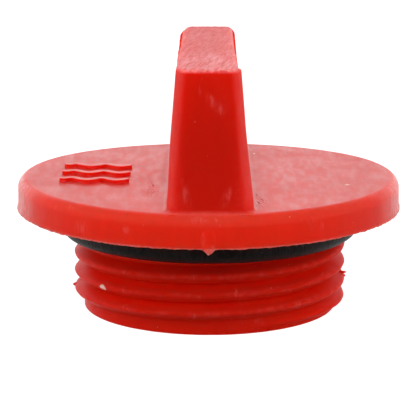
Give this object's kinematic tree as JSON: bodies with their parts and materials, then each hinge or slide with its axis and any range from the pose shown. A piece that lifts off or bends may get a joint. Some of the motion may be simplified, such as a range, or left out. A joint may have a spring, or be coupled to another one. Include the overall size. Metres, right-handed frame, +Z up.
{
  "type": "screw plug with seal ring",
  "caption": "Round-flanged screw plug with a bar grip, a coarse outside thread, a hollow skirt and a round-section rubber seal ring, for a water-filled barrier's opening.",
  "frame": {"origin": "centre of the skirt's open end, on which the plug stands, on the thread's axis", "axes": "+Z up along the thread's axis towards the grip, Y along the bar grip, X across it, with the raised water symbol on the -X side"},
  "size_m": [0.063, 0.0635, 0.0432],
  "materials": {
    "plug_plastic": "satin moulded polyethylene, red all through, worn and slightly sanded on the grip's top",
    "seal_rubber": "matt black rubber"
  },
  "bodies": {
    "plug": {"plug_body": "plug_plastic"},
    "ring": {"seal_ring": "seal_rubber"}
  },
  "joints": [
    {"name": "seal_turn", "type": "hinge", "parent": "plug", "child": "ring", "pos_m": [0, 0, 0.0141], "axis": [0, 0, 1], "continuous": true}
  ]
}
